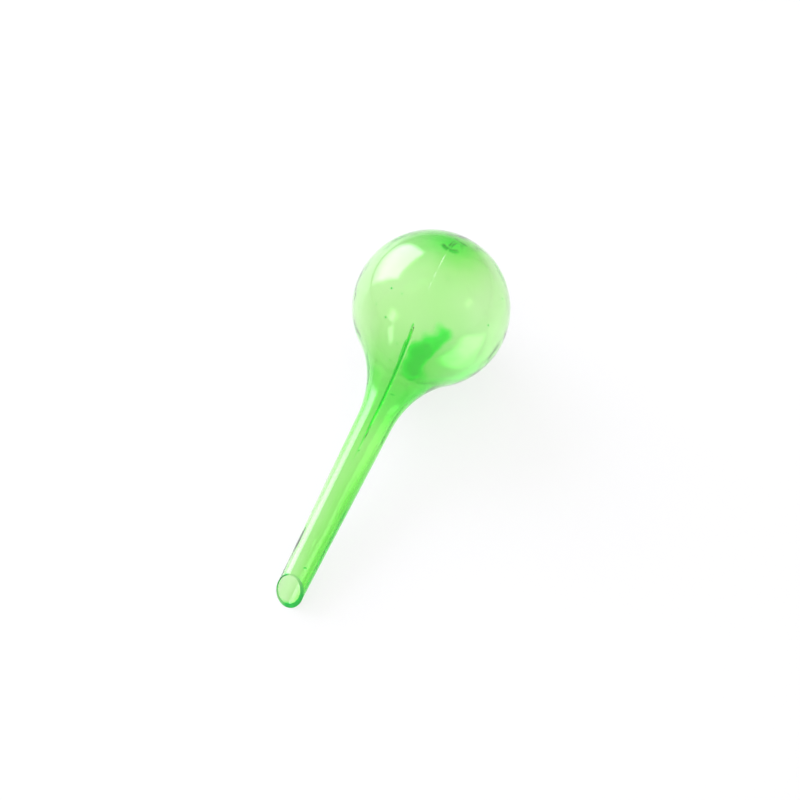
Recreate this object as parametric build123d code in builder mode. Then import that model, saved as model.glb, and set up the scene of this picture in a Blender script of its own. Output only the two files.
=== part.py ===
from build123d import *
import math
import os

# Watering globe: one blow-moulded shell of clear green plastic, empty, lying on a table.
# Millimetres. The table is Z = 0, the stem points to -Y and its cut mouth faces up.
# The bulb and the long lip of the mouth touch the table.

# Outside
bulb_diameter = 58.0
total_length = 155.0  # along the axis, from the bulb's pole to the long lip
neck_flare_radius = 42.0  # hollow curve that carries the bulb into the stem
stem_neck_diameter = 13.2  # where the flare ends
stem_tip_diameter = 10.0
mouth_cut_angle = 39.0  # slant of the knife cut, from square to the stem

# Wall, thinnest where the plastic was blown furthest
bulb_wall = 0.8
pole_wall = 1.8  # the pinch of the mould leaves the inside flat at the pole
pole_blend_radius = 12.0  # rounding between that flat and the bulb
neck_wall = 1.5

# Mouth, kept round and straight by the blow pin
mouth_bore_diameter = 8.0
mouth_bore_length = 24.0  # back from the long lip

# Parting line, a fine ridge of flash that fades out down the stem
seam_turn = 9.0  # of the mould's parting plane, from upright
flash_height = 0.18
flash_width = 0.4

# Pinch-off at the pole: a weld bead on the parting line, and the burr of the torn-off tail
weld_length = 7.5
weld_width = 1.0
weld_height = 0.4
burr_up = 0.5  # from the pole to the middle of the burr's arc, up the parting plane
burr_aside = -3.6  # and square to that plane
burr_arc_radius = 4.2
burr_start = 137.0  # degrees, from the parting plane's upper side
burr_sweep = 102.0
burr_width = 0.9
burr_rise = 0.0  # of its flat top over the pole, so it stands tallest at its far end
scar_root = 0.5  # how far the bead and the burr reach into the wall

cut_overrun = 6.0

bulb_radius = bulb_diameter / 2
neck_radius = stem_neck_diameter / 2
tip_radius = stem_tip_diameter / 2
bore_radius = mouth_bore_diameter / 2
lip_reach = total_length - bulb_radius  # from the bulb's centre to the long lip
blank_reach = lip_reach + cut_overrun

# The flare touches the bulb and ends along the stem, and that sets its end's distance
neck_reach = math.sqrt(
    (bulb_radius + neck_flare_radius) ** 2 - (neck_radius + neck_flare_radius) ** 2
)
stem_taper = (neck_radius - tip_radius) / (lip_reach - neck_reach)
blank_end_radius = tip_radius - stem_taper * cut_overrun

# At rest, a line under the bulb and the long lip is level
tilt = math.asin(bulb_radius / math.hypot(lip_reach, tip_radius)) - math.atan2(tip_radius, lip_reach)
along = Vector(0, -math.cos(tilt), -math.sin(tilt))  # from the bulb to the tip
upward = Vector(0, -math.sin(tilt), math.cos(tilt))  # square to that
sideways = Vector(1, 0, 0)

# The origin is on the table, under the middle of the whole globe
front_reach = lip_reach * math.cos(tilt) - tip_radius * math.sin(tilt)
back_reach = bulb_radius + weld_height
bulb_centre = Vector(0, (front_reach - back_reach) / 2, bulb_radius)

# Sketches of the mould: x is the distance from the axis, and y runs along it to the tip
seam_angle = math.radians(seam_turn)
seam_out = upward * math.cos(seam_angle) + sideways * math.sin(seam_angle)
mould_plane = Plane(origin=bulb_centre, x_dir=seam_out, z_dir=seam_out.cross(along))
mould_axis = Axis(bulb_centre, along)

# The knife cut leaves the stem longest underneath, at the long lip
cut_angle = math.radians(mouth_cut_angle)
cut_normal = along * math.cos(cut_angle) + upward * math.sin(cut_angle)
cut_plane = Plane(origin=bulb_centre + along * lip_reach - upward * tip_radius, z_dir=cut_normal)

# Inside, the bulb is round but for the flat at the pole
space_radius = bulb_radius - bulb_wall
flat_reach = bulb_radius - pole_wall
flat_edge_angle = -math.degrees(math.asin(flat_reach / space_radius))

# The weld bead ends, and the burr starts, this far from the bulb's centre along the axis
weld_half = weld_length / 2
weld_side = math.sqrt(bulb_radius**2 - weld_half**2)
burr_line = CenterArc((burr_up, burr_aside), burr_arc_radius, burr_start, burr_sweep)
burr_far_end = Vector(*(burr_line @ 1))
burr_side = math.sqrt(bulb_radius**2 - burr_far_end.length**2)
burr_root = bulb_centre - along * (burr_side - scar_root)
burr_top = bulb_radius + burr_rise


def bulb_and_flare(bulb, neck, start_angle):
    """The outline of a bulb and a flare of these radii; returns its two end points."""
    flare = (neck_reach**2 + neck**2 - bulb**2) / (2 * (bulb - neck))
    shoulder_angle = math.degrees(math.atan2(neck_reach, neck + flare))
    bulb_arc = CenterArc((0, 0), bulb, start_angle, shoulder_angle - start_angle)
    flare_arc = TangentArc(bulb_arc @ 1, (neck, neck_reach), tangent=bulb_arc % 1)
    return bulb_arc @ 0, flare_arc @ 1


# The solid that the mould's cavity would make, with its parting line and pinch-off
with BuildPart() as blank:
    with BuildSketch(mould_plane):
        with BuildLine():
            pole, neck = bulb_and_flare(bulb_radius, neck_radius, -90)
            Polyline(neck, (blank_end_radius, blank_reach), (0, blank_reach), pole)
        make_face()
    revolve(axis=mould_axis)

    # Flash, all round in the parting plane
    with BuildSketch(mould_plane):
        with BuildLine():
            pole, neck = bulb_and_flare(bulb_radius + flash_height, neck_radius + flash_height, -90)
            Polyline(neck, (tip_radius - flash_height, lip_reach), (0, lip_reach), pole)
        make_face()
        mirror(about=Plane.YZ)
    extrude(amount=flash_width / 2, both=True)

    # Weld bead over the pole, a lens in the parting plane
    with BuildSketch(mould_plane):
        with BuildLine():
            bead = ThreePointArc(
                (-weld_half, -weld_side), (0, -bulb_radius - weld_height), (weld_half, -weld_side)
            )
            root = scar_root - weld_side
            Polyline(bead @ 0, (-weld_half, root), (weld_half, root), bead @ 1)
        make_face()
    extrude(amount=weld_width / 2, both=True)

    # Burr of the torn-off tail, an arc beside the bead
    with BuildSketch(Plane(origin=burr_root, x_dir=seam_out, z_dir=-along)):
        SlotArc(burr_line, burr_width)
    extrude(amount=burr_top - burr_side + scar_root)

# The space inside: bulb, flare, tapered stem and the blow pin's bore
with BuildPart() as hollow:
    with BuildSketch(mould_plane):
        with BuildLine():
            edge, neck = bulb_and_flare(space_radius, neck_radius - neck_wall, flat_edge_angle)
            Polyline(
                neck,
                (bore_radius, lip_reach - mouth_bore_length),
                (bore_radius, blank_reach),
                (0, blank_reach),
                (0, -flat_reach),
                edge,
            )
        make_face()
        fillet(vertices().sort_by_distance(edge)[0], pole_blend_radius)
    revolve(axis=mould_axis)

# The globe itself: the blank made hollow, and its tip cut off at a slant
with BuildPart() as globe:
    add(blank.part)
    add(hollow.part, mode=Mode.SUBTRACT)
    split(bisect_by=cut_plane, keep=Keep.BOTTOM)
globe.part.label = "globe"

os.makedirs("parts", exist_ok=True)
export_step(globe.part, "parts/globe.step")
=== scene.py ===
import math

import bpy
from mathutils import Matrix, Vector, noise


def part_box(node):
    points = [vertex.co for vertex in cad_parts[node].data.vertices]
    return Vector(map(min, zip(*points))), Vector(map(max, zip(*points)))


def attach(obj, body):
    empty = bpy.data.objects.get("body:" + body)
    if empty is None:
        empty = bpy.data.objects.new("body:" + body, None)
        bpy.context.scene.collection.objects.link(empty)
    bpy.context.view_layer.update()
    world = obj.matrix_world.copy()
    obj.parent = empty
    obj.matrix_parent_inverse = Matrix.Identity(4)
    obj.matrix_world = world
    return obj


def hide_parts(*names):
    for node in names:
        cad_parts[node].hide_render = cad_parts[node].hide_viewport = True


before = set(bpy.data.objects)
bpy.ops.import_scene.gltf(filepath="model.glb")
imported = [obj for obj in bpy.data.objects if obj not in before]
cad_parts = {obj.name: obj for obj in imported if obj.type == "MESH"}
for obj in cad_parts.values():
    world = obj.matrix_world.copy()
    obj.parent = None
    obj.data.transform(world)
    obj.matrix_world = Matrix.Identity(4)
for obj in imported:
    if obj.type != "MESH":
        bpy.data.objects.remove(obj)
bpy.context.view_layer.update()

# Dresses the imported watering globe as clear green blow-moulded plastic, on a white table
# under one large soft light. Everything is in metres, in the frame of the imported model.
bl_info = {
    "name": "Watering globe",
    "version": (1, 0, 0),
    "blender": (4, 5, 0),
    "location": "3D View > Sidebar > Watering globe",
    "description": "Models a blow-moulded plastic watering globe and its studio table",
    "category": "Object",
}

GLOBE_LOW, GLOBE_HIGH = (Vector(corner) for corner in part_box("globe"))
MM = 0.001

# Rings of the turned skin. The pole has finer ones for the pinch-off that is raised on it.
POLE_ZONE = math.radians(24)
POLE_RINGS = 44
BULB_RINGS = 62
FLARE_RINGS = 30
STEM_RINGS = 60
SEGMENTS = 160  # even, so that both sides of the parting line lie on one
STEM_OVERRUN = 6 * MM  # past the long lip, for the slanted cut
WELD = 0.5e-3 * MM  # points nearer than this are one
SMOOTH_ANGLE = math.radians(50)

# The wall. A reach is a distance along the axis, from the bulb's centre towards the tip.
LEAST_WALL = 0.35 * MM
BURR_TAPER = (0.3, 0.75)  # half width of the burr at its start and its far end, in its widths
MOUTH_SHIFT_SHARE = 0.5  # part of the stem's length over which the bore drifts off its middle
KNIFE_BURR_FROM = 24 / 25  # part of the stem's length after which the knife's burr starts
KNIFE_BURR_EDGE = 5 / 6  # cosine of the angle that it spreads to each side
BANDS_ACROSS = 2.6  # cells of the bands' noise from the axis to the skin
BAND_LENGTH = 34.615 * MM  # of a cell along the axis
PATCH_SIZE = 12 * MM
RIB_REACH = (19 * MM, 23 * MM, 32 * MM, 74 * MM)  # starts, is full, fades and ends
# The sag's extra wall under the shoulder is partly real, and partly darkens it as painted shade of the
# globe's shadow seen through
SAG_REACH = 10 * MM
SAG_LENGTH = 15 * MM
SAG_WIDTH = 6 * MM

# The ridge of flash comes and goes, where the halves of the mould closed better or worse
FLASH_PATCH = 1.5 * MM
FLASH_MEAN = 0.75  # shares of its height
FLASH_SWING = 1.5
FLASH_LEAST = 0.1
FLASH_REACH = (11 * MM, 7 * MM)  # from the bulb's centre to where it has faded and is full

# Streaks: points on a line, its half width and its strength, in mm. Under the shoulder they are
# painted shade, the globe's shadow on the table seen through its underside, with points along the
# axis and aside. At the pole they are streaks of dye, with points up and aside, and are also the
# stubs of the torn-off tail, which stand up from the skin.
SHOULDER_SHADE_STREAKS = (
    (((-5.0, -0.3), (-0.6, -3.3), (5.0, -5.4), (11.7, -4.6), (17.5, -1.5)), 6.2, 1.1),
    (((1.5, -4.0), (5.5, -5.2), (11.7, -4.4), (16.5, -2.0)), 4.2, 1.3),
    (((18.0, -1.0), (21.5, 3.0), (21.0, 8.2), (15.9, 10.5), (13.4, 15.3)), 4.5, 0.45),
)
POLE_STREAKS = (
    (((8.0, -0.7), (7.0, -0.9)), 1.1, 2.0),
    (((2.2, -2.7), (-0.2, -3.7)), 1.0, 2.2),
    (((4.6, 0.7), (4.6, 1.9)), 1.3, 1.5),
)
POLE_REACH = -20 * MM  # the marks of the pole lie before this
STUB_SHARE = 0.5  # height of a stub, against the burr's, for each 1 of its streak's strength
STREAK_RISE = 1.4  # steepness from a streak's edge to its middle
STREAK_WANDER = 1.6  # mm that the streaks under the shoulder waver by
WANDER_SIZE = 4 * MM

# Greener zones all over: reach in mm, angle round the axis in degrees from upright, radius in mm
# and strength. Two lie at the pinched pole, and the others from there to the neck. The two low under
# the bulb, at 160 and 167 degrees, are painted shade where the bulb rests on the table; the rest are
# more dye.
DYE_AND_SHADE_ZONES = (
    (-28.6, -45.0, 8.5, 0.88),
    (-15.0, -14.0, 12.0, 0.35),
    # Painted shade: darker under the bulb, where it rests on the table
    (6.0, 160.0, 18.0, 0.3),
    (3.0, 167.0, 6.0, 0.35),
    (18.0, 115.0, 10.0, 0.5),
    (35.0, 115.0, 11.0, 0.55),
)

# Dye elsewhere, where 1 is a streak's green
BURR_DYE = 2.7
RIB_DYE = 1.8
RIB_DYE_WIDTH = 0.42 * MM  # to each side
RIB_DYE_REACH = (20 * MM, 24 * MM, 38 * MM, 78 * MM)  # starts, is full, fades and ends
NECK_DYE = 0.28
STEM_DYE = 0.055
NECK_DYE_REACH = (18 * MM, 38 * MM, 62 * MM)  # starts, is full, and has sunk to the stem's
SIDE_DYE = 0.22  # along the stem's thick side
SIDE_DYE_TURN = math.radians(107)
SIDE_DYE_EDGE = 11 / 12  # cosine of the angle that it spreads to each side
SIDE_DYE_REACH = (30 * MM, 48 * MM)  # starts and is full

# How dark the knife left the cut, by the angle round the axis from upright, in degrees
CUT_DARKNESS = (
    (0, 0.1), (30, 0.35), (60, 0.8), (90, 1.0), (160, 1.0), (180, 1.25), (200, 0.8),
    (235, 0.4), (270, 0.8), (300, 1.4), (325, 1.5), (345, 0.1), (360, 0.1),
)

# Grains of dye that didn't melt in, some 0.7 mm across, with one in each cell of this size
GRAIN_SPACING = 9 * MM
GRAIN_CORE = 0.3 * MM  # from a grain's middle to where it starts to fade
GRAIN_EDGE = 0.42 * MM
GRAIN_DYE = 1.5

# Waves that the plastic sets with as it cools, deeper inside, off the mould
WAVE_SIZE = 9 * MM
OUTER_WAVES = 0.08 * MM
INNER_WAVES = 0.3 * MM

# The studio
TABLE_SIZE = 40.0
TABLE_GLOW = 1.03  # brightness of the seen table, just over white
LACQUER_IOR = 1.45
LACQUER_ROUGHNESS = 0.35
DUSK_SIDE = (-0.9, -0.5)  # X of the direction to where the dusk is full, and where it ends
DUSK_TOP = (math.sin(math.radians(3)), math.sin(math.radians(5)))  # and its Z
ROOM_BACK = 0.8  # Y of the direction from which the room is as bright as its back
LOW_FACE = 0.45  # share of a light's face, from below, over which it is dimmed
LIGHT_TURNS = 32  # light turns often inside a clear wall before it comes out at an edge


def srgb(hex_colour):
    """A colour written as sRGB hex, as the linear RGBA that Blender's sockets take."""
    channels = [int(hex_colour[place : place + 2], 16) / 255 for place in (1, 3, 5)]
    return [c / 12.92 if c <= 0.04045 else ((c + 0.055) / 1.055) ** 2.4 for c in channels] + [1.0]


WHITE = srgb("#FFFFFF")


def add_node(tree, kind, inputs=None, **settings):
    """Adds a shader node. An input is a value, or the output socket that it is linked to."""
    node = tree.nodes.new(kind)
    for name, value in settings.items():
        setattr(node, name, value)
    for key, value in (inputs or {}).items():
        sockets = [socket for socket in node.inputs if socket.enabled and socket.name == key]
        socket = sockets[0] if sockets else node.inputs[key]
        if isinstance(value, bpy.types.NodeSocket):
            tree.links.new(value, socket)
        else:
            socket.default_value = value
    return node


def result(node):
    """The output of a node that is in use, where it has one for each type of value."""
    return next(socket for socket in node.outputs if socket.enabled)


def smooth_step(value):
    """0 below 0 and 1 above 1, with a smooth rise between."""
    value = min(max(value, 0.0), 1.0)
    return value * value * (3 - 2 * value)


def ramp(value, start, end):
    """0 before the start and 1 past the end, with a smooth rise between. It may run downwards."""
    return smooth_step((value - start) / (end - start))


def plateau(value, start, full, fading, end):
    """0 before the start and past the end, and 1 between two places inside them."""
    return ramp(value, start, full) * ramp(value, end, fading)


def hump(distance, half_width):
    """1 in the middle of a ridge, falling smoothly to 0 at its edges."""
    return smooth_step(1 - abs(distance) / half_width)


def size(name, text, default_mm):
    """A length that the user may change, given here in millimetres."""
    return bpy.props.FloatProperty(
        name=name,
        description=text,
        default=default_mm * MM,
        unit="LENGTH",
        subtype="DISTANCE",
        precision=5,
    )


def turn(name, text, default_degrees):
    """An angle that the user may change, given here in degrees."""
    return bpy.props.FloatProperty(
        name=name,
        description=text,
        default=math.radians(default_degrees),
        unit="ROTATION",
        subtype="ANGLE",
    )


def amount(name, text, default, top=1.0):
    """A plain number that the user may change, from 0 up."""
    return bpy.props.FloatProperty(name=name, description=text, default=default, min=0.0, max=top)


def colour(name, text, hex_colour):
    """A colour that the user may change, written here as sRGB hex."""
    return bpy.props.FloatVectorProperty(
        name=name,
        description=text,
        default=srgb(hex_colour),
        size=4,
        min=0.0,
        max=1.0,
        subtype="COLOR",
    )


class GlobeSizes(bpy.types.PropertyGroup):
    """The sizes of the globe's shell."""

    bulb_diameter: size("Bulb diameter", "Across the bulb", (GLOBE_HIGH.z - GLOBE_LOW.z) / MM)
    total_length: size("Length", "Along the axis, from the bulb's pole to the long lip", 155.0)
    flare_radius: size("Flare radius", "Of the hollow curve between bulb and stem", 42.0)
    neck_diameter: size("Neck diameter", "Across the stem where the flare ends", 13.2)
    tip_diameter: size("Tip diameter", "Across the stem at its tip", 10.0)
    cut_angle: turn("Cut angle", "Slant of the cut tip, from square to the stem", 39.0)
    bulb_wall: size("Bulb wall", "Thickness round the bulb, along the parting line", 0.72)
    side_wall: size("Side wall", "Thickness round the bulb, half way between the parting lines", 0.4)
    pole_wall: size("Pole wall", "Thickness at the pole, where the mould pinched it off", 1.1)
    pole_fade: size("Pole fade", "Distance from the axis over which the pole's wall thins", 9.5)
    neck_wall: size("Neck wall", "Thickness where the flare ends", 1.0)
    neck_fade: size("Neck fade", "Distance outside the stem over which the neck's wall thins", 11.0)
    tip_wall: size("Tip wall", "Mean thickness at the cut tip", 0.9)
    mouth_shift: size("Mouth shift", "How far the mouth lies off the stem's middle", 0.55)
    mouth_turn: turn("Mouth turn", "Way that the mouth is shifted, from upright", -58.0)
    knife_burr: size("Knife burr", "Extra wall where the knife pushed the rim inwards", 1.0)
    die_lines: size("Die lines", "Unevenness of the wall in bands along the globe", 0.13)
    unevenness: size("Unevenness", "Of the wall in patches", 0.1)
    seam_turn: turn("Parting turn", "Turn of the parting line about the axis, from upright", 9.0)
    flash_height: size("Flash height", "Of the ridge on the parting line", 0.17)
    flash_width: size("Flash width", "Of the ridge on the parting line", 0.5)
    rib_height: size("Rib height", "Of the weld inside the parting line, down the shoulder", 1.1)
    rib_width: size("Rib width", "Of the weld inside the parting line", 1.35)
    # Its extra wall also darkens the underside as painted shade: the globe's shadow on the table, seen
    # through
    sag: size("Sag", "Extra wall where soft plastic gathered, under the shoulder", 0.4)
    weld_length: size("Weld length", "Of the bead over the pole", 7.5)
    weld_width: size("Weld width", "Of the bead over the pole", 1.6)
    weld_height: size("Weld height", "Of the bead over the pole", 0.18)
    burr_up: size("Burr up", "From the pole to the middle of the burr's arc, up the parting line", 0.5)
    burr_aside: size("Burr aside", "And square to the parting line, towards -X", 3.6)
    burr_radius: size("Burr radius", "Of the burr's arc", 4.2)
    burr_width: size("Burr width", "Of the burr left by the torn-off tail", 1.5)
    burr_height: size("Burr height", "Of the burr left by the torn-off tail", 0.3)
    burr_depth: size("Burr depth", "Of the weld inside the burr", 0.1)
    burr_start: turn("Burr start", "On its arc, from the parting line's upper side", 137.0)
    burr_sweep: turn("Burr sweep", "Angle that the burr covers on its arc", 94.0)


class PlasticLook(bpy.types.PropertyGroup):
    """The colours and gloss of the globe's plastic."""

    clear: colour("Plastic", "What is left of white light after a millimetre of wall", "#BBF880")
    # The streak green also paints shade: the globe's shadow seen through its underside
    streak: colour("Streaks", "What the streaks of dye let through", "#00FF40")
    knot: colour("Knots", "What the darkest knots and specks of dye let through", "#00A832")
    cut: colour("Cut face", "Of the plastic where the knife left it rough", "#00D044")
    clean_cut: colour("Clean cut", "Of the cut face where the knife went through cleanly", "#B4F09C")
    dark_cut: colour("Dark cut", "What the cut face darkens towards where it is roughest", "#003810")
    outer_roughness: amount("Outside roughness", "Of the skin that lay on the mould", 0.04)
    inner_roughness: amount("Inside roughness", "Of the skin that the air blew", 0.08)
    cut_roughness: amount("Cut roughness", "Of the face that the knife left", 0.5)
    cut_clearness: amount("Cut clearness", "Share of light that gets through that face", 0.3)
    ior: amount("IOR", "Of clear PVC", 1.53, top=3.0)
    gloss: amount("Gloss", "Weight of the outermost skin's own mirror gloss", 0.35)
    gloss_roughness: amount("Gloss roughness", "Of that mirror gloss", 0.03)


class StageSizes(bpy.types.PropertyGroup):
    """The studio round the globe."""

    azimuth: turn("Camera azimuth", "Round the globe from the stem's end", 24.25)
    elevation: turn("Camera elevation", "Above the table", 50.376)
    distance: size("Camera distance", "To the point that it looks at", 824.771)
    lens: bpy.props.FloatProperty(name="Lens", description="Focal length in millimetres", default=105.0)
    sensor: bpy.props.FloatProperty(name="Sensor", description="Its width in millimetres", default=36.0)
    aim: bpy.props.FloatVectorProperty(
        name="Aim",
        description="The point in the middle of the picture",
        default=(7.382 * MM, 2.513 * MM, 29.0 * MM),
        unit="LENGTH",
        subtype="XYZ",
    )
    box_azimuth: turn("Soft box azimuth", "Round the globe from the stem's end", -114.0)
    box_elevation: turn("Soft box elevation", "Above the table", 27.5)
    box_distance: size("Soft box distance", "From the bulb, and the card's too", 1500.0)
    box_width: size("Soft box width", "Across the lit face", 1560.0)
    box_height: size("Soft box height", "Up the lit face", 1400.0)
    box_brightness: amount("Soft box brightness", "Against white paper in this light", 5.0, top=20.0)
    box_low: amount("Soft box low", "Brightness of its lower edge, against the rest", 0.35)
    box_edge: amount("Soft box edge", "Share of the lit face that fades out at its sides and top", 0.16)
    box_colour: colour("Soft box colour", "A little cooler than the room", "#EDE8FF")
    card_azimuth: turn("Card azimuth", "Round the globe from the stem's end", -37.0)
    card_elevation: turn("Card elevation", "Above the table", 18.0)
    card_width: size("Card width", "Across the bounce card", 400.0)
    card_height: size("Card height", "Up the bounce card", 460.0)
    card_brightness: amount("Card brightness", "Against white paper in this light", 2.2, top=20.0)
    card_edge: amount("Card edge", "Share of the card that fades out at its sides and top", 0.45)
    room_brightness: amount("Room brightness", "Of the pale room all round", 0.9, top=2.0)
    room_back: amount("Room back", "Brightness behind the globe, against the front", 0.5)
    room_dusk: amount("Room dusk", "Brightness low down beside the soft box, against the rest", 0.85)
    table: colour("Table", "Of its white laminate", "#FAFAFA")
    table_lift: amount("Table lift", "How far the seen table is lifted to white", 0.8)
    table_shine: amount("Table shine", "Extra brightness of the table as the globe mirrors it", 0.05)


class Mould:
    """The globe's axis, directions and centres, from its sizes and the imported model's box."""

    def __init__(self, sizes):
        self.radius = sizes.bulb_diameter / 2
        self.neck = sizes.neck_diameter / 2
        self.flare = sizes.flare_radius
        self.tip = sizes.tip_diameter / 2
        self.lip_reach = sizes.total_length - self.radius
        flare_to_axis = self.neck + sizes.flare_radius
        self.neck_reach = math.sqrt((self.radius + sizes.flare_radius) ** 2 - flare_to_axis**2)
        tilt = math.asin(self.radius / math.hypot(self.lip_reach, self.tip))
        self.tilt = tilt - math.atan2(self.tip, self.lip_reach)
        self.along = Vector((0, -math.cos(self.tilt), -math.sin(self.tilt)))
        self.upward = Vector((0, -math.sin(self.tilt), math.cos(self.tilt)))
        self.sideways = Vector((1, 0, 0))
        front = self.lip_reach * math.cos(self.tilt) - self.tip * math.sin(self.tilt)
        self.centre = Vector((0, GLOBE_LOW.y + front, self.radius))
        self.seam_out = self.round_axis(sizes.seam_turn)
        self.seam_side = self.along.cross(self.seam_out)
        self.shoulder_turn = math.atan2(self.neck_reach, flare_to_axis)
        self.flare_centre = self.centre + self.seam_out * flare_to_axis + self.along * self.neck_reach

    def round_axis(self, angle):
        """The direction square to the axis at an angle from upright, towards +X."""
        return self.upward * math.cos(angle) + self.sideways * math.sin(angle)

    def reach(self, point):
        """How far along the axis a point is, from the bulb's centre towards the tip."""
        return (point - self.centre).dot(self.along)

    def off_axis(self, point):
        """The vector to a point from the nearest point of the axis."""
        return point - self.centre - self.along * self.reach(point)

    def skin_radius(self, reach):
        """The globe's outer radius at a distance along the axis."""
        if reach < self.radius * math.sin(self.shoulder_turn):
            return math.sqrt(self.radius**2 - reach**2)
        if reach < self.neck_reach:
            return self.neck + self.flare - math.sqrt(self.flare**2 - (self.neck_reach - reach) ** 2)
        return self.neck + (self.tip - self.neck) * self.stem_share(reach)

    def stem_share(self, reach):
        """0 where the stem starts and 1 at its long lip."""
        return (reach - self.neck_reach) / (self.lip_reach - self.neck_reach)


def edit(piece, test=None):
    """Goes into edit mode on one object, with the vertices selected whose place passes a test."""
    if bpy.context.object and bpy.context.object.mode == "EDIT":
        bpy.ops.object.mode_set(mode="OBJECT")
    bpy.ops.object.select_all(action="DESELECT")
    piece.select_set(True)
    bpy.context.view_layer.objects.active = piece
    bpy.ops.object.mode_set(mode="EDIT")
    bpy.ops.mesh.select_all(action="DESELECT")
    if test:
        bpy.ops.object.mode_set(mode="OBJECT")
        for vertex in piece.data.vertices:
            vertex.select = test(vertex.co)
        bpy.ops.object.mode_set(mode="EDIT")


def apply_modifier(piece, kind, **settings):
    """Adds a modifier to the selected object and applies it."""
    modifier = piece.modifiers.new(kind.lower(), kind)
    for name, value in settings.items():
        setattr(modifier, name, value)
    bpy.ops.object.modifier_apply(modifier=modifier.name)


def weigh(piece, name, weights):
    """Gives the first vertices a weight each in a new vertex group."""
    group = piece.vertex_groups.new(name=name)
    for number, weight in enumerate(weights):
        group.add([number], weight, "REPLACE")


def lathe_skin(mould):
    """Draws the outline with spins about the centres of its arcs, and turns it round the axis."""
    bpy.ops.object.select_all(action="DESELECT")
    pole = mould.centre - mould.along * mould.radius
    bpy.ops.mesh.primitive_plane_add(size=mould.radius, location=pole)
    bpy.ops.object.transform_apply()
    piece = bpy.context.active_object
    piece.name = piece.data.name = "globe_shell"
    bpy.ops.object.mode_set(mode="EDIT")
    bpy.ops.mesh.select_all(action="SELECT")
    bpy.ops.mesh.merge(type="CENTER")

    bulb_turn = math.pi / 2 + mould.shoulder_turn
    for turned, rings in ((POLE_ZONE, POLE_RINGS), (bulb_turn - POLE_ZONE, BULB_RINGS)):
        bpy.ops.mesh.spin(steps=rings, angle=turned, center=mould.centre, axis=mould.seam_side)
    bpy.ops.mesh.spin(
        steps=FLARE_RINGS, angle=-mould.shoulder_turn, center=mould.flare_centre, axis=mould.seam_side
    )

    stem = mould.lip_reach - mould.neck_reach
    drawn = stem + STEM_OVERRUN
    narrowing = (mould.neck - mould.tip) * drawn / stem
    stroke = mould.along * drawn - mould.seam_out * narrowing
    bpy.ops.mesh.extrude_region_move(TRANSFORM_OT_translate={"value": stroke})
    edit(piece, lambda place: mould.reach(place) > mould.neck_reach - WELD)
    bpy.ops.mesh.subdivide(number_cuts=STEM_RINGS - 1)

    bpy.ops.mesh.select_all(action="SELECT")
    bpy.ops.mesh.spin(steps=SEGMENTS, angle=math.tau, center=mould.centre, axis=mould.along)
    bpy.ops.mesh.select_all(action="SELECT")
    bpy.ops.mesh.remove_doubles(threshold=WELD)
    bpy.ops.mesh.normals_make_consistent(inside=False)
    return piece


def score_parting_line(mould, sizes, piece):
    """Cuts lines beside the parting line, for its ridge and its rib to rise between."""
    half_ridge, half_rib = sizes.flash_width / 2, sizes.rib_width / 2
    for beside in (half_ridge / 2, half_ridge, (half_ridge + half_rib) / 2, half_rib):
        for side in (-beside, beside):
            edit(piece)
            bpy.ops.mesh.select_all(action="SELECT")
            plane = mould.centre + mould.seam_side * side
            bpy.ops.mesh.bisect(plane_co=plane, plane_no=mould.seam_side, threshold=WELD)
    bpy.ops.object.mode_set(mode="OBJECT")


def burr_at(mould, sizes, off):
    """1 along the middle of the burr's arc beside the pole, falling to 0 at its edges."""
    across = off - mould.seam_out * sizes.burr_up - mould.seam_side * sizes.burr_aside
    angle = math.atan2(-across.dot(mould.seam_side), across.dot(mould.seam_out)) - sizes.burr_start
    past = (angle % math.tau) * sizes.burr_radius
    length = sizes.burr_sweep * sizes.burr_radius
    ends = min(past, length - past) / sizes.burr_width + 0.5  # it runs out over its width
    thin, thick = BURR_TAPER
    half_width = sizes.burr_width * (thin + (thick - thin) * past / length)
    return hump(across.length - sizes.burr_radius, half_width) * smooth_step(ends)


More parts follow.
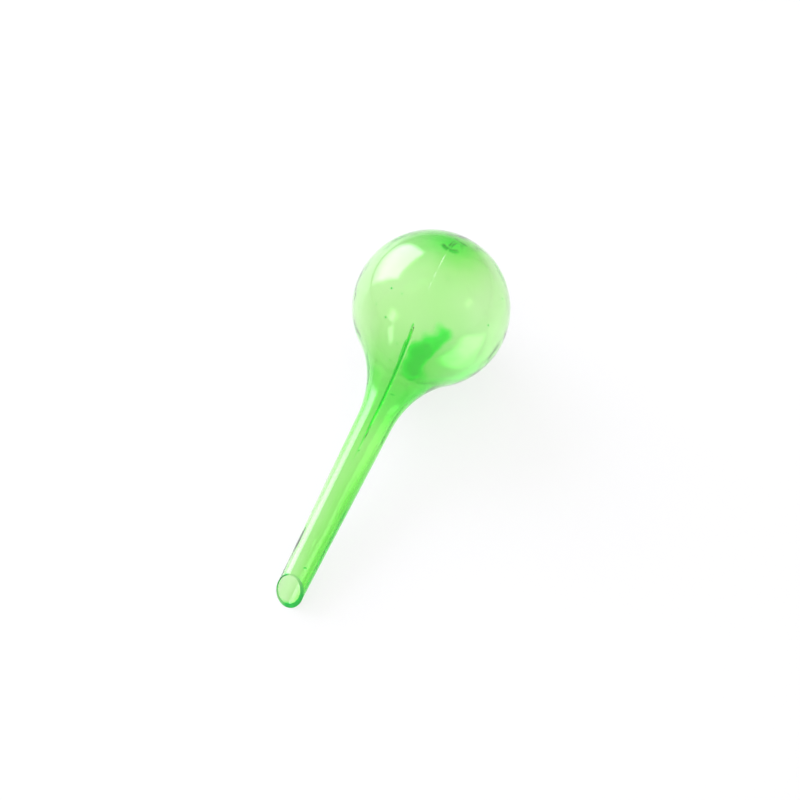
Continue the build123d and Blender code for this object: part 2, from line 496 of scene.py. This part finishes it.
def wall_at(mould, sizes, place):
    """Thickness of the plastic inside a place on the skin: thin where it was blown furthest."""
    reach, off = mould.reach(place), mould.off_axis(place)
    out = off.normalized()
    facing = out.dot(mould.seam_out)
    down_stem = mould.stem_share(reach)
    bulb = sizes.side_wall + (sizes.bulb_wall - sizes.side_wall) * facing**2
    if reach < 0:
        thick = math.exp(-((off.length / sizes.pole_fade) ** 2))
        wall = bulb + (sizes.pole_wall - bulb) * thick + sizes.burr_depth * burr_at(mould, sizes, off)
    elif down_stem < 0:
        thick = math.exp(-(((off.length - mould.neck) / sizes.neck_fade) ** 2))
        wall = bulb + (sizes.neck_wall - bulb) * thick
    else:
        mouth_way = out.dot(mould.round_axis(sizes.mouth_turn))
        wall = sizes.neck_wall + (sizes.tip_wall - sizes.neck_wall) * down_stem
        wall -= sizes.mouth_shift * mouth_way * ramp(down_stem, 0, MOUTH_SHIFT_SHARE)
        burred = ramp(mouth_way, KNIFE_BURR_EDGE, 1) * ramp(down_stem, KNIFE_BURR_FROM, 1)
        wall += sizes.knife_burr * burred

    # The die drew bands along the plastic, which then set in patches
    across = out * BANDS_ACROSS
    bands = Vector((across.dot(mould.seam_out), across.dot(mould.seam_side), reach / BAND_LENGTH))
    wall += sizes.die_lines * noise.noise(bands) * min(1, off.length / mould.neck)
    wall += sizes.unevenness * noise.noise(place / PATCH_SIZE)

    # The mould pinched the plastic along the parting line, from the shoulder to the stem
    rib = hump(off.dot(mould.seam_side), sizes.rib_width / 2) if facing > 0 else 0
    wall += sizes.rib_height * rib * plateau(reach, *RIB_REACH)

    # Soft plastic gathered on the side that lay lowest. Its extra wall also darkens it there as painted
    # shade: the globe's shadow on the table, seen through the underside.
    low = Vector(((reach - SAG_REACH) / SAG_LENGTH, off.dot(mould.sideways) / SAG_WIDTH))
    if out.dot(mould.upward) < 0:
        wall += sizes.sag * math.exp(-low.length_squared)
    return max(wall, LEAST_WALL)


def streak(line, here):
    """1 along the middle of a streak of dye, falling smoothly to 0 at its edges."""
    points, half_width, strength = line
    nearest = half_width
    for start, end in zip(points, points[1:]):
        start, end = Vector(start), Vector(end)
        past_start = (here - start).dot(end - start) / (end - start).length_squared
        nearest = min(nearest, (here - start.lerp(end, min(max(past_start, 0), 1))).length)
    return strength * smooth_step(STREAK_RISE * (1 - nearest / half_width))


def dye_and_shade_at(mould, sizes, place):
    """Extra dye at a place, and painted shade under the shoulder: 1 is a streak's green, and what is
    over that darkens to a knot's.
    """
    reach, off = mould.reach(place), mould.off_axis(place)
    up, aside = off.dot(mould.upward), off.dot(mould.sideways)
    if reach < POLE_REACH:
        here = Vector((up, aside)) / MM
        burr_dye = BURR_DYE * burr_at(mould, sizes, off)
        drawn = max(*(streak(line, here) for line in POLE_STREAKS), burr_dye)
    elif up < 0:
        # Painted shade: the globe's shadow on the table, seen through the wall under the shoulder
        wander = STREAK_WANDER * noise.noise(place / WANDER_SIZE)
        here = Vector((reach, aside)) / MM + Vector((wander, wander))
        drawn = max(streak(line, here) for line in SHOULDER_SHADE_STREAKS)
    else:
        rib = hump(off.dot(mould.seam_side), RIB_DYE_WIDTH) * plateau(reach, *RIB_DYE_REACH)
        drawn = RIB_DYE * rib
    clear = 1.0
    for zone_reach, zone_turn, zone_radius, strength in DYE_AND_SHADE_ZONES:
        zone_off = mould.round_axis(math.radians(zone_turn)) * mould.skin_radius(zone_reach * MM)
        zone = mould.centre + mould.along * zone_reach * MM + zone_off
        clear *= 1 - strength * math.exp(-(((place - zone).length / (zone_radius * MM)) ** 2))
    start, full, end = NECK_DYE_REACH
    below_neck = STEM_DYE + (NECK_DYE - STEM_DYE) * ramp(reach, end, full)
    clear *= 1 - ramp(reach, start, full) * below_neck
    side_way = off.normalized().dot(mould.round_axis(SIDE_DYE_TURN))
    clear *= 1 - SIDE_DYE * ramp(side_way, SIDE_DYE_EDGE, 1) * ramp(reach, *SIDE_DYE_REACH)
    return max(drawn, 1 - clear)


def relief_at(mould, sizes, place):
    """Height of what the mould leaves standing on the skin: flash, weld bead, burr and stubs."""
    reach, off = mould.reach(place), mould.off_axis(place)
    beside, out = off.dot(mould.seam_side), off.dot(mould.seam_out)
    patchy = max(FLASH_LEAST, FLASH_MEAN + FLASH_SWING * noise.noise(place / FLASH_PATCH))
    fading = FLASH_LEAST + (1 - FLASH_LEAST) * ramp(abs(reach), *FLASH_REACH)
    if reach > mould.neck_reach:
        fading *= smooth_step(1 - mould.stem_share(reach))
    flash = sizes.flash_height * hump(beside, sizes.flash_width / 2) * fading * patchy
    if reach > 0:
        return flash
    weld_share = 1 - (2 * out / sizes.weld_length) ** 2
    weld = sizes.weld_height * hump(beside, sizes.weld_width / 2) * max(weld_share, 0)
    here = Vector((off.dot(mould.upward), off.dot(mould.sideways))) / MM
    stub = STUB_SHARE * max(streak(line, here) for line in POLE_STREAKS) if reach < POLE_REACH else 0
    return max(flash, weld, sizes.burr_height * max(burr_at(mould, sizes, off), stub))


def mark_faces(piece, name, chosen):
    """Adds a face attribute that is 1 on the chosen faces and 0 on the rest, for the material."""
    attribute = piece.data.attributes.new(name, "FLOAT", "FACE")
    for number in chosen:
        attribute.data[number].value = 1.0


def give_wall(mould, sizes, piece):
    """Thickens the skin inwards, then raises the relief on its outside alone."""
    skin = list(piece.data.vertices)
    outside_count, outside_faces = len(skin), len(piece.data.polygons)
    walls = [wall_at(mould, sizes, vertex.co) for vertex in skin]
    thickest = max(walls)
    weigh(piece, "wall", [wall / thickest for wall in walls])
    apply_modifier(
        piece, "SOLIDIFY", thickness=thickest, offset=-1, use_rim=False, vertex_group="wall"
    )
    mark_faces(piece, "inner_skin", range(outside_faces, len(piece.data.polygons)))
    outside = list(piece.data.vertices)[:outside_count]
    heights = [relief_at(mould, sizes, vertex.co) for vertex in outside]
    highest = max(heights)
    weigh(piece, "relief", [height / highest for height in heights])
    apply_modifier(piece, "DISPLACE", strength=highest, mid_level=0, vertex_group="relief")
    piece.vertex_groups.clear()
    dye = piece.data.attributes.new("dye", "FLOAT", "POINT")
    for vertex in piece.data.vertices:
        dye.data[vertex.index].value = dye_and_shade_at(mould, sizes, vertex.co)


def cut_darkness(mould, place):
    """How dark the cut is at a place on it: 0 where it is clean, and 1 or more where it is rough."""
    off = mould.off_axis(place)
    angle = math.degrees(math.atan2(off.dot(mould.sideways), off.dot(mould.upward))) % 360
    return next(
        before + (after - before) * (angle - start) / (end - start)
        for (start, before), (end, after) in zip(CUT_DARKNESS, CUT_DARKNESS[1:])
        if angle <= end
    )


def cut_tip(mould, sizes, piece):
    """Cuts the tip off at a slant and closes the cut between the two walls."""
    lip = mould.centre + mould.along * mould.lip_reach - mould.upward * mould.tip
    facing = mould.along * math.cos(sizes.cut_angle) + mould.upward * math.sin(sizes.cut_angle)
    edit(piece)
    bpy.ops.mesh.select_all(action="SELECT")
    bpy.ops.mesh.bisect(plane_co=lip, plane_no=facing, clear_outer=True, threshold=WELD)
    bpy.ops.mesh.select_all(action="DESELECT")
    bpy.ops.mesh.select_non_manifold(
        extend=False, use_wire=False, use_multi_face=False, use_non_contiguous=False, use_verts=False
    )
    bpy.ops.mesh.bridge_edge_loops()
    bpy.ops.object.mode_set(mode="OBJECT")
    on_cut = [abs((vertex.co - lip).dot(facing)) < 4 * WELD for vertex in piece.data.vertices]
    cut = [face.index for face in piece.data.polygons if all(on_cut[v] for v in face.vertices)]
    mark_faces(piece, "knife_cut", cut)
    dye = piece.data.attributes["dye"]
    for vertex in piece.data.vertices:
        if on_cut[vertex.index]:
            dye.data[vertex.index].value = cut_darkness(mould, vertex.co)


def green_plastic(look):
    """Clear green PVC, blown: glossy off the mould, duller inside, and dull where it was cut."""
    material = bpy.data.materials.new("clear_green_blown_pvc")
    material.use_nodes = True
    tree = material.node_tree
    tree.nodes.clear()
    inner = add_node(tree, "ShaderNodeAttribute", attribute_name="inner_skin").outputs["Fac"]
    cut = add_node(tree, "ShaderNodeAttribute", attribute_name="knife_cut").outputs["Fac"]
    dye = add_node(tree, "ShaderNodeAttribute", attribute_name="dye").outputs["Fac"]
    place = add_node(tree, "ShaderNodeTexCoord").outputs["Object"]
    grains = add_node(tree, "ShaderNodeTexVoronoi", {"Vector": place, "Scale": 1 / GRAIN_SPACING})
    specks = add_node(
        tree,
        "ShaderNodeMapRange",
        {
            "Value": grains.outputs["Distance"],
            "From Min": GRAIN_CORE / GRAIN_SPACING,
            "From Max": GRAIN_EDGE / GRAIN_SPACING,
            "To Min": GRAIN_DYE,
            "To Max": 0.0,
        },
    )
    dye = add_node(
        tree, "ShaderNodeMath", {0: dye, 1: specks.outputs["Result"]}, operation="MAXIMUM"
    ).outputs[0]
    dark = add_node(tree, "ShaderNodeMath", {0: dye, 1: 1.0}, operation="SUBTRACT").outputs[0]
    skin = add_node(
        tree,
        "ShaderNodeMapRange",
        {"Value": inner, "To Min": look.outer_roughness, "To Max": look.inner_roughness},
    )
    rough = add_node(
        tree,
        "ShaderNodeMapRange",
        {"Value": cut, "To Min": skin.outputs["Result"], "To Max": look.cut_roughness},
    )
    # The knife left the cut face too rough to see through, so it shows the dye's own green
    clear = add_node(
        tree, "ShaderNodeMapRange", {"Value": cut, "To Min": 1.0, "To Max": look.cut_clearness}
    )
    # The dye attribute also carries painted shade: the globe's shadow seen through its underside
    streaked = add_node(
        tree,
        "ShaderNodeMix",
        {"Factor": dye, "A": WHITE, "B": look.streak},
        data_type="RGBA",
    )
    knotted = add_node(
        tree,
        "ShaderNodeMix",
        {"Factor": dark, "A": result(streaked), "B": look.knot},
        data_type="RGBA",
    )
    cut_green = add_node(
        tree,
        "ShaderNodeMix",
        {"Factor": dye, "A": look.clean_cut, "B": look.cut},
        data_type="RGBA",
    )
    cut_tint = add_node(
        tree,
        "ShaderNodeMix",
        {"Factor": dark, "A": result(cut_green), "B": look.dark_cut},
        data_type="RGBA",
    )
    tint = add_node(
        tree,
        "ShaderNodeMix",
        {"Factor": cut, "A": result(knotted), "B": result(cut_tint)},
        data_type="RGBA",
    )
    waves = add_node(
        tree,
        "ShaderNodeTexNoise",
        {"Vector": place, "Scale": 1 / WAVE_SIZE, "Detail": 1.0, "Roughness": 0.4},
    )
    depth = add_node(
        tree, "ShaderNodeMapRange", {"Value": inner, "To Min": OUTER_WAVES, "To Max": INNER_WAVES}
    )
    ripple = add_node(
        tree,
        "ShaderNodeBump",
        {"Height": waves.outputs["Fac"], "Strength": 1.0, "Distance": depth.outputs["Result"]},
    )
    shader = add_node(
        tree,
        "ShaderNodeBsdfPrincipled",
        {
            "Base Color": result(tint),
            "Roughness": rough.outputs["Result"],
            "IOR": look.ior,
            "Transmission Weight": clear.outputs["Result"],
            "Coat Weight": look.gloss,
            "Coat Roughness": look.gloss_roughness,
            "Normal": ripple.outputs["Normal"],
        },
    )
    # The dye takes out most of the blue and half the red in each millimetre
    absorbed = add_node(
        tree, "ShaderNodeVolumeAbsorption", {"Color": look.clear, "Density": 1 / MM}
    )
    add_node(
        tree,
        "ShaderNodeOutputMaterial",
        {"Surface": shader.outputs["BSDF"], "Volume": absorbed.outputs["Volume"]},
    )
    return material


def rays_that_see_it(tree):
    """1 for camera, glossy and transmitted rays, and 0 for the rays that light the object."""
    path = add_node(tree, "ShaderNodeLightPath").outputs
    seen = add_node(
        tree,
        "ShaderNodeMath",
        {0: path["Is Camera Ray"], 1: path["Is Glossy Ray"]},
        operation="MAXIMUM",
    )
    return add_node(
        tree,
        "ShaderNodeMath",
        {0: seen.outputs[0], 1: path["Is Transmission Ray"]},
        operation="MAXIMUM",
    ).outputs[0]


def white_table(stage):
    """White satin laminate, lifted towards pure white for the eye so that a faint shadow is left."""
    material = bpy.data.materials.new("white_table")
    material.use_nodes = True
    tree = material.node_tree
    tree.nodes.clear()
    matt = add_node(tree, "ShaderNodeBsdfDiffuse", {"Color": stage.table})
    mirrored = add_node(tree, "ShaderNodeLightPath").outputs["Is Glossy Ray"]
    brightness = add_node(
        tree,
        "ShaderNodeMapRange",
        {"Value": mirrored, "To Min": TABLE_GLOW, "To Max": TABLE_GLOW + stage.table_shine},
    )
    glow = add_node(
        tree, "ShaderNodeEmission", {"Color": WHITE, "Strength": brightness.outputs["Result"]}
    )
    lift = add_node(
        tree,
        "ShaderNodeMath",
        {0: rays_that_see_it(tree), 1: stage.table_lift},
        operation="MULTIPLY",
    )
    mixed = add_node(
        tree,
        "ShaderNodeMixShader",
        {0: lift.outputs[0], 1: matt.outputs["BSDF"], 2: glow.outputs["Emission"]},
    )
    # Its satin lacquer mirrors the light softly at a low angle, and hardly from above
    grazing = add_node(tree, "ShaderNodeFresnel", {"IOR": LACQUER_IOR}).outputs["Fac"]
    satin = add_node(
        tree, "ShaderNodeBsdfAnisotropic", {"Roughness": LACQUER_ROUGHNESS}, distribution="GGX"
    )
    both = add_node(
        tree,
        "ShaderNodeMixShader",
        {0: grazing, 1: mixed.outputs["Shader"], 2: satin.outputs["BSDF"]},
    )
    add_node(tree, "ShaderNodeOutputMaterial", {"Surface": both.outputs["Shader"]})
    return material


def pale_room(stage):
    """The pale room all round, darker behind the globe and in a low strip beside the soft box."""
    world = bpy.context.scene.world or bpy.data.worlds.new("room")
    bpy.context.scene.world = world
    world.use_nodes = True
    tree = world.node_tree
    tree.nodes.clear()
    towards = add_node(tree, "ShaderNodeTexCoord").outputs["Generated"]
    way = add_node(tree, "ShaderNodeSeparateXYZ", {0: towards})
    beside = add_node(
        tree,
        "ShaderNodeMapRange",
        {
            "Value": way.outputs["X"],
            "From Min": DUSK_SIDE[0],
            "From Max": DUSK_SIDE[1],
            "To Min": stage.room_dusk,
        },
        interpolation_type="SMOOTHSTEP",
    )
    walls = add_node(
        tree,
        "ShaderNodeMapRange",
        {
            "Value": way.outputs["Z"],
            "From Min": DUSK_TOP[0],
            "From Max": DUSK_TOP[1],
            "To Min": beside.outputs["Result"],
        },
    )
    behind = add_node(
        tree,
        "ShaderNodeMapRange",
        {
            "Value": way.outputs["Y"],
            "From Max": ROOM_BACK,
            "To Min": stage.room_brightness,
            "To Max": stage.room_brightness * stage.room_back,
        },
        interpolation_type="SMOOTHSTEP",
    )
    brightness = add_node(
        tree,
        "ShaderNodeMath",
        {0: walls.outputs["Result"], 1: behind.outputs["Result"]},
        operation="MULTIPLY",
    )
    light = add_node(
        tree, "ShaderNodeBackground", {"Color": WHITE, "Strength": brightness.outputs[0]}
    )
    add_node(tree, "ShaderNodeOutputWorld", {"Surface": light.outputs[0]})


def fade_to_the_edges(lamp, edge, hue, low=1.0):
    """Fades a light's face out over a share of it at each side and at the top, and dims it below."""
    lamp.use_nodes = True
    tree = lamp.node_tree
    tree.nodes.clear()
    place = add_node(tree, "ShaderNodeNewGeometry").outputs["Parametric"]
    on_face = add_node(tree, "ShaderNodeSeparateXYZ", {0: place})
    from_side = add_node(
        tree, "ShaderNodeMath", {0: on_face.outputs["X"], 1: 0.5}, operation="PINGPONG"
    )
    from_top = add_node(
        tree, "ShaderNodeMath", {0: 1.0, 1: on_face.outputs["Y"]}, operation="SUBTRACT"
    )
    strength = add_node(
        tree,
        "ShaderNodeMapRange",
        {"Value": on_face.outputs["Y"], "From Max": LOW_FACE, "To Min": low},
        interpolation_type="SMOOTHSTEP",
    ).outputs["Result"]
    for inwards in (from_side, from_top):
        faded = add_node(
            tree,
            "ShaderNodeMapRange",
            {"Value": inwards.outputs[0], "From Max": edge},
            interpolation_type="SMOOTHSTEP",
        )
        strength = add_node(
            tree, "ShaderNodeMath", {0: strength, 1: faded.outputs["Result"]}, operation="MULTIPLY"
        ).outputs[0]
    shine = add_node(tree, "ShaderNodeEmission", {"Color": hue, "Strength": strength})
    add_node(tree, "ShaderNodeOutputLight", {"Surface": shine.outputs["Emission"]})


def direction(azimuth, elevation):
    """A direction out from the globe: azimuth 0 is towards the stem's end, and 90 degrees +X."""
    level = math.cos(elevation)
    return Vector((math.sin(azimuth) * level, -math.cos(azimuth) * level, math.sin(elevation)))


def aim_at(item, place, target):
    """Puts a camera or lamp at a place, upright and looking at a target."""
    item.location = place
    item.rotation_euler = (target - place).to_track_quat("-Z", "Y").to_euler()


def add_soft_light(name, width, height, brightness):
    """Adds a rectangular light, as bright as brightness times white paper in this studio."""
    bpy.ops.object.light_add(type="AREA")
    item = bpy.context.active_object
    item.name = name
    item.data.shape = "RECTANGLE"
    item.data.size, item.data.size_y = width, height
    item.data.energy = brightness * math.pi * width * height
    return item


class WATERING_OT_shell(bpy.types.Operator):
    """Models the globe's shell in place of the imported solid"""

    bl_idname = "watering.shell"
    bl_label = "Globe shell"

    def execute(self, context):
        sizes = context.scene.globe_sizes
        mould = Mould(sizes)
        piece = lathe_skin(mould)
        score_parting_line(mould, sizes, piece)
        give_wall(mould, sizes, piece)
        cut_tip(mould, sizes, piece)
        bpy.ops.object.shade_smooth_by_angle(angle=SMOOTH_ANGLE)
        piece.data.materials.append(green_plastic(context.scene.plastic_look))
        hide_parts("globe")
        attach(piece, "root")
        return {"FINISHED"}


class WATERING_OT_stage(bpy.types.Operator):
    """Adds the table, the soft light, the white room and the camera"""

    bl_idname = "watering.stage"
    bl_label = "Table, light and camera"

    def execute(self, context):
        stage = context.scene.stage_sizes
        bpy.ops.object.select_all(action="DESELECT")
        bpy.ops.mesh.primitive_plane_add(size=TABLE_SIZE)
        floor = context.active_object
        floor.name = "table_top"
        floor.data.materials.append(white_table(stage))

        bulb = Mould(context.scene.globe_sizes).centre
        box_way = direction(stage.box_azimuth, stage.box_elevation)
        box = add_soft_light("soft_box", stage.box_width, stage.box_height, stage.box_brightness)
        aim_at(box, bulb + box_way * stage.box_distance, bulb)
        fade_to_the_edges(box.data, stage.box_edge, stage.box_colour, stage.box_low)
        card_way = direction(stage.card_azimuth, stage.card_elevation)
        card = add_soft_light(
            "bounce_card", stage.card_width, stage.card_height, stage.card_brightness
        )
        aim_at(card, bulb + card_way * stage.box_distance, bulb)
        fade_to_the_edges(card.data, stage.card_edge, WHITE)
        pale_room(stage)

        bpy.ops.object.camera_add()
        camera = context.active_object
        camera.data.lens = stage.lens
        camera.data.sensor_width = stage.sensor
        aim = Vector(stage.aim)
        aim_at(camera, aim + direction(stage.azimuth, stage.elevation) * stage.distance, aim)
        context.scene.camera = camera
        context.scene.view_settings.view_transform = "Standard"
        context.scene.cycles.max_bounces = LIGHT_TURNS
        context.scene.cycles.transmission_bounces = LIGHT_TURNS
        context.scene.cycles.glossy_bounces = LIGHT_TURNS
        return {"FINISHED"}


class WATERING_PT_panel(bpy.types.Panel):
    """Lists the globe's steps and sizes"""

    bl_idname = "WATERING_PT_panel"
    bl_label = "Watering globe"
    bl_space_type = "VIEW_3D"
    bl_region_type = "UI"
    bl_category = "Watering globe"

    def draw(self, context):
        for operator in OPERATORS:
            self.layout.operator(operator.bl_idname)
        scene = context.scene
        for group in (scene.globe_sizes, scene.plastic_look, scene.stage_sizes):
            for name in group.__annotations__:
                self.layout.prop(group, name)


OPERATORS = (WATERING_OT_shell, WATERING_OT_stage)
CLASSES = (GlobeSizes, PlasticLook, StageSizes, *OPERATORS, WATERING_PT_panel)


def register():
    for item in CLASSES:
        bpy.utils.register_class(item)
    bpy.types.Scene.globe_sizes = bpy.props.PointerProperty(type=GlobeSizes)
    bpy.types.Scene.plastic_look = bpy.props.PointerProperty(type=PlasticLook)
    bpy.types.Scene.stage_sizes = bpy.props.PointerProperty(type=StageSizes)


def unregister():
    del bpy.types.Scene.stage_sizes
    del bpy.types.Scene.plastic_look
    del bpy.types.Scene.globe_sizes
    for item in reversed(CLASSES):
        bpy.utils.unregister_class(item)


def main():
    register()
    bpy.ops.watering.shell()
    bpy.ops.watering.stage()


if __name__ == "__main__":
    main()
